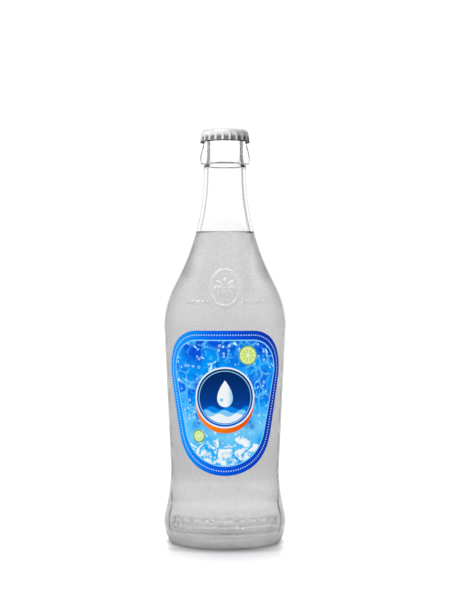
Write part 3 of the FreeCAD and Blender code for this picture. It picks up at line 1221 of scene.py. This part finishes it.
def drop_roundel(recipe, below, across, up):
    """A navy roundel with a pale ring, a white drop over small waves, and an orange crescent under it."""
    middle_across, middle_up = roundel_middle
    distance = recipe.reach(across, up, *roundel_middle)
    low = recipe.less(up, middle_up)
    crescent_side = recipe.between(across, -8.0, 12.0)
    crescent = recipe.over(print_ink(255, 128, 16), print_ink(238, 88, 0), crescent_side)
    from_crescent = recipe.reach(across, up, middle_across, middle_up - crescent_drop)
    in_crescent = recipe.inside(from_crescent, roundel_radius + crescent_edge, print_blur)
    colour = recipe.over(below, crescent, in_crescent)
    rim = recipe.inside(distance, roundel_radius + roundel_rim, print_blur)
    colour = recipe.over(colour, print_ink(236, 247, 255), rim)
    night = recipe.ramp(recipe.between(low, -roundel_radius, roundel_radius), print_inks(night_inks))
    colour = recipe.over(colour, night, recipe.inside(distance, roundel_radius - night_inset, print_blur))
    off_ring = recipe.sum("ABSOLUTE", recipe.less(distance, roundel_radius - ring_inset))
    colour = recipe.over(colour, print_ink(150, 214, 252), recipe.inside(off_ring, ring_half_width, 0.1))
    in_ring = recipe.inside(distance, roundel_radius - wave_inset, print_blur)
    for wave_low, sway, tone in waves:
        swell = recipe.sum("SINE", recipe.sum("MULTIPLY_ADD", across, wave_pitch, sway))
        surface = recipe.sum("MULTIPLY_ADD", swell, wave_swell, wave_low)
        wet = recipe.times(in_ring, recipe.inside(recipe.less(low, surface), 0.0, 0.1))
        colour = recipe.over(colour, print_ink(*tone), wet)
    share = recipe.sum("DIVIDE", recipe.sum("ADD", low, drop_foot), drop_height)
    belly = recipe.times(recipe.sum("SQRT", recipe.largest(share, 0.0)), recipe.less(1.0, share))
    off_drop = recipe.less(recipe.sum("ABSOLUTE", across), recipe.times(belly, drop_belly))
    drop = recipe.times(recipe.inside(off_drop, -0.1, print_blur), recipe.sum("GREATER_THAN", share, 0.0))
    shaded_side = recipe.between(across, 0.6, 4.6)
    drop_tone = recipe.over(print_ink(*white_ink), print_ink(150, 212, 250), shaded_side)
    colour = recipe.over(colour, drop_tone, drop)
    from_gleam = recipe.reach(across, up, middle_across + gleam_middle[0], middle_up + gleam_middle[1])
    gleam = recipe.times(recipe.inside(from_gleam, gleam_radius, 0.25), drop)
    return recipe.over(colour, print_ink(112, 196, 250), gleam)


def printed_paper():
    """Printed front of the label: dotted blue border, pale keyline, water, roundel and limes."""
    recipe = Recipe("printed_paper")
    flat = recipe.add("UVMap")
    flat.uv_map = "UVMap"
    from_left, up, _ = recipe.axes(flat.outputs["UV"], 1 / flat_span)
    across = recipe.less(from_left, flat_span / 2)
    from_edge = recipe.attribute("edge_distance")
    along_edge = recipe.attribute("edge_run")
    colour = water_field(recipe, across, up)
    for middle, radius in ((lime_middle, lime_radius), (small_lime_middle, small_lime_radius)):
        colour = citrus_slice(recipe, colour, across, up, middle, radius)
    colour = drop_roundel(recipe, colour, across, up)
    in_keyline = recipe.inside(from_edge, border_width + keyline, line_edge)
    colour = recipe.over(colour, print_ink(128, 210, 255), in_keyline)
    border_share = recipe.between(across, -border_half_span, border_half_span)
    border = recipe.ramp(border_share, print_inks(border_inks))
    colour = recipe.over(colour, border, recipe.inside(from_edge, border_width, line_edge))
    off_dot = recipe.less(recipe.sum("FRACT", recipe.sum("DIVIDE", along_edge, dot_pitch)), 0.5)
    from_dot = recipe.reach(recipe.times(off_dot, dot_pitch), from_edge, 0.0, border_width / 2)
    dot = recipe.inside(from_dot, dot_radius, print_blur)
    recipe.set(Base_Color=recipe.over(colour, print_ink(196, 228, 255), dot), Specular_IOR_Level=0.02)
    fibre = recipe.noise(recipe.object_place(), 1800.0, 3.0)
    recipe.rough(fibre, 0.32, 0.46)
    recipe.bump(fibre, 0.08, 0.02)
    return recipe.made


def studio_light():
    """Plain soft studio: white behind and at the left, dimmer at the right, in front and overhead."""
    recipe = Recipe("studio", "worlds", "Background")
    bpy.context.scene.world = recipe.made
    across, along, up = recipe.axes(recipe.add("TexCoord").outputs["Generated"], 1.0)
    sides = recipe.between(across, *side_span, left_tone, right_tone)
    walls = recipe.between(along, *front_span, front_tone, sides)
    with_back = recipe.between(along, *back_span, walls, back_tone)
    recipe.set(Color=grey(1.0), Strength=recipe.between(up, *ceiling_span, with_back, ceiling_tone))


def hang_lamp(name, kind, place, hidden_from, **settings):
    """A lamp at a place, hidden from some kinds of ray."""
    lamp = bpy.data.lights.new(name, kind)
    for setting, value in settings.items():
        setattr(lamp, setting, value)
    holder = bpy.data.objects.new(name, lamp)
    bpy.context.scene.collection.objects.link(holder)
    holder.location = place
    for ray in hidden_from:
        setattr(holder, "visible_" + ray, False)
    return holder


def light_only(holder, name, piece):
    """Let a lamp light one piece and nothing else."""
    lit = bpy.data.collections.new(name)
    lit.objects.link(piece)
    holder.light_linking.receiver_collection = lit


def overhead_lamp():
    """Broad soft light from above and a little behind, which gives the shadow."""
    holder = hang_lamp("overhead_lamp", "SUN", lamp_place, ("glossy", "transmission"), angle=lamp_width,
                       energy=lamp_brightness)
    holder.rotation_euler = (-lamp_lean, -lamp_turn, 0)


def sparkle_lamp(bottle):
    """Broad soft box overhead that shows only in the gloss of the raised glass."""
    power = sparkle_brightness * math.pi * sparkle_width * sparkle_depth
    holder = hang_lamp("sparkle_lamp", "AREA", sparkle_place, ("camera", "diffuse", "transmission"),
                       shape="RECTANGLE", size=sparkle_width, size_y=sparkle_depth, energy=power)
    light_only(holder, "raised_glass", bottle)


def crown_lamp(crown):
    """Soft box above and to the left that whitens the top of the crown."""
    holder = hang_lamp("crown_lamp", "AREA", crown_lamp_place, ("camera", "transmission"),
                       size=crown_lamp_size, energy=crown_lamp_power)
    aim = Vector((0, 0, crown_top * mm)) - holder.location
    holder.rotation_euler = aim.to_track_quat("-Z", "Y").to_euler()
    light_only(holder, "lit_crown", crown)


def shade_card():
    """Small black card right of the crown, hidden from the camera, which keeps that side in the shade."""
    card = add_piece("shade_card", bpy.ops.mesh.primitive_plane_add, size=card_size, location=card_place,
                     rotation=(0, math.pi / 2, 0))
    recipe = Recipe("black_card")
    recipe.set(Base_Color=grey(0.02), Roughness=0.9)
    card.data.materials.append(recipe.made)
    card.visible_camera = False
    card.visible_transmission = False
    card.visible_shadow = False


def pale_floor():
    """Plain pale floor, with a painted shadow where the foot meets it and a painted glow under the glass
    and beside it.
    """
    floor = add_piece("floor", bpy.ops.mesh.primitive_plane_add, size=floor_size, location=(0, 0, 0))
    recipe = Recipe("pale_floor")
    place = recipe.object_place()
    across, along, _ = recipe.axes(place)
    from_axis = recipe.reach(across, along)
    pale = recipe.over(*map(grey, floor_tones), recipe.noise(place, 3.0))
    # Painted shadow in front of the foot
    from_foot = recipe.reach(recipe.times(across, painted_shadow_narrowing), along)
    painted_contact_shadow = recipe.times(recipe.between(along, *painted_shadow_depths, painted_shadow_share, 0.0),
                         recipe.between(from_foot, *painted_shadow_radii, 1.0, 0.0))
    recipe.set(Base_Color=recipe.over(pale, grey(painted_shadow_tone), painted_contact_shadow), Roughness=0.6, Specular_IOR_Level=0.2)
    # Painted light: glow under the glass and beside the foot
    under = recipe.times(recipe.between(from_axis, *under_glow_radii, *under_glow),
                         recipe.between(along, *under_glow_depths, *under_glow_slope),
                         recipe.inside(from_axis, *under_glow_edge))
    beside = recipe.times(recipe.between(recipe.sum("ABSOLUTE", across), *beside_foot, 0.0, beside_glow),
                          recipe.between(from_axis, *beside_end, 1.0, 0.0))
    recipe.set(Emission_Color=grey(1.0), Emission_Strength=recipe.sum("ADD", under, beside))
    floor.data.materials.append(recipe.made)


def set_camera():
    """Level camera in front of the label."""
    lens = bpy.data.cameras.new("camera")
    lens.lens = camera_lens
    lens.sensor_width = camera_sensor
    camera = bpy.data.objects.new("camera", lens)
    bpy.context.scene.collection.objects.link(camera)
    camera.location = camera_place
    camera.rotation_euler = (math.pi / 2, 0, 0)
    bpy.context.scene.camera = camera


def hand_over(piece, node, body, slot, *finishes):
    """Give a piece its finishes, attach it to the body it rides on and hide the solid it stands for; the
    slot is not used.
    """
    for place, finish in enumerate(finishes):
        if place < len(piece.data.materials):
            piece.data.materials[place] = finish
        else:
            piece.data.materials.append(finish)
    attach(piece, body)
    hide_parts(node)


profile = panel_profile()
bottle = blow_bottle()
hand_over(bottle, "glass_bottle", "bottle", "clear_glass", clear_glass())
hand_over(pour_drink(), "soda_fill", "bottle", "clear_drink", clear_drink())
crown = press_crown()
hand_over(crown, "crown_shell", "crown_cap", "silver_tinplate", silver_tinplate(), inner_lacquer())
hand_over(mould_liner(), "crown_liner", "crown_cap", "liner_plastic", liner_plastic())
glue = lay_sheet("label_glue", profile, glue_inset, glue_clearance, glue_film, glue_rows, glue_columns)
hand_over(glue, "label_adhesive", "bottle", "dried_glue", dried_glue(), dried_glue())
label = lay_sheet("front_label_sheet", profile, 0.0, glue_thickness, paper_thickness, label_rows,
                  label_columns)
hand_over(label, "front_label", "bottle", "label_paper", printed_paper(), plain_paper())
studio_light()
overhead_lamp()
sparkle_lamp(bottle)
crown_lamp(crown)
shade_card()
pale_floor()
set_camera()
bpy.context.scene.view_settings.view_transform = "Standard"
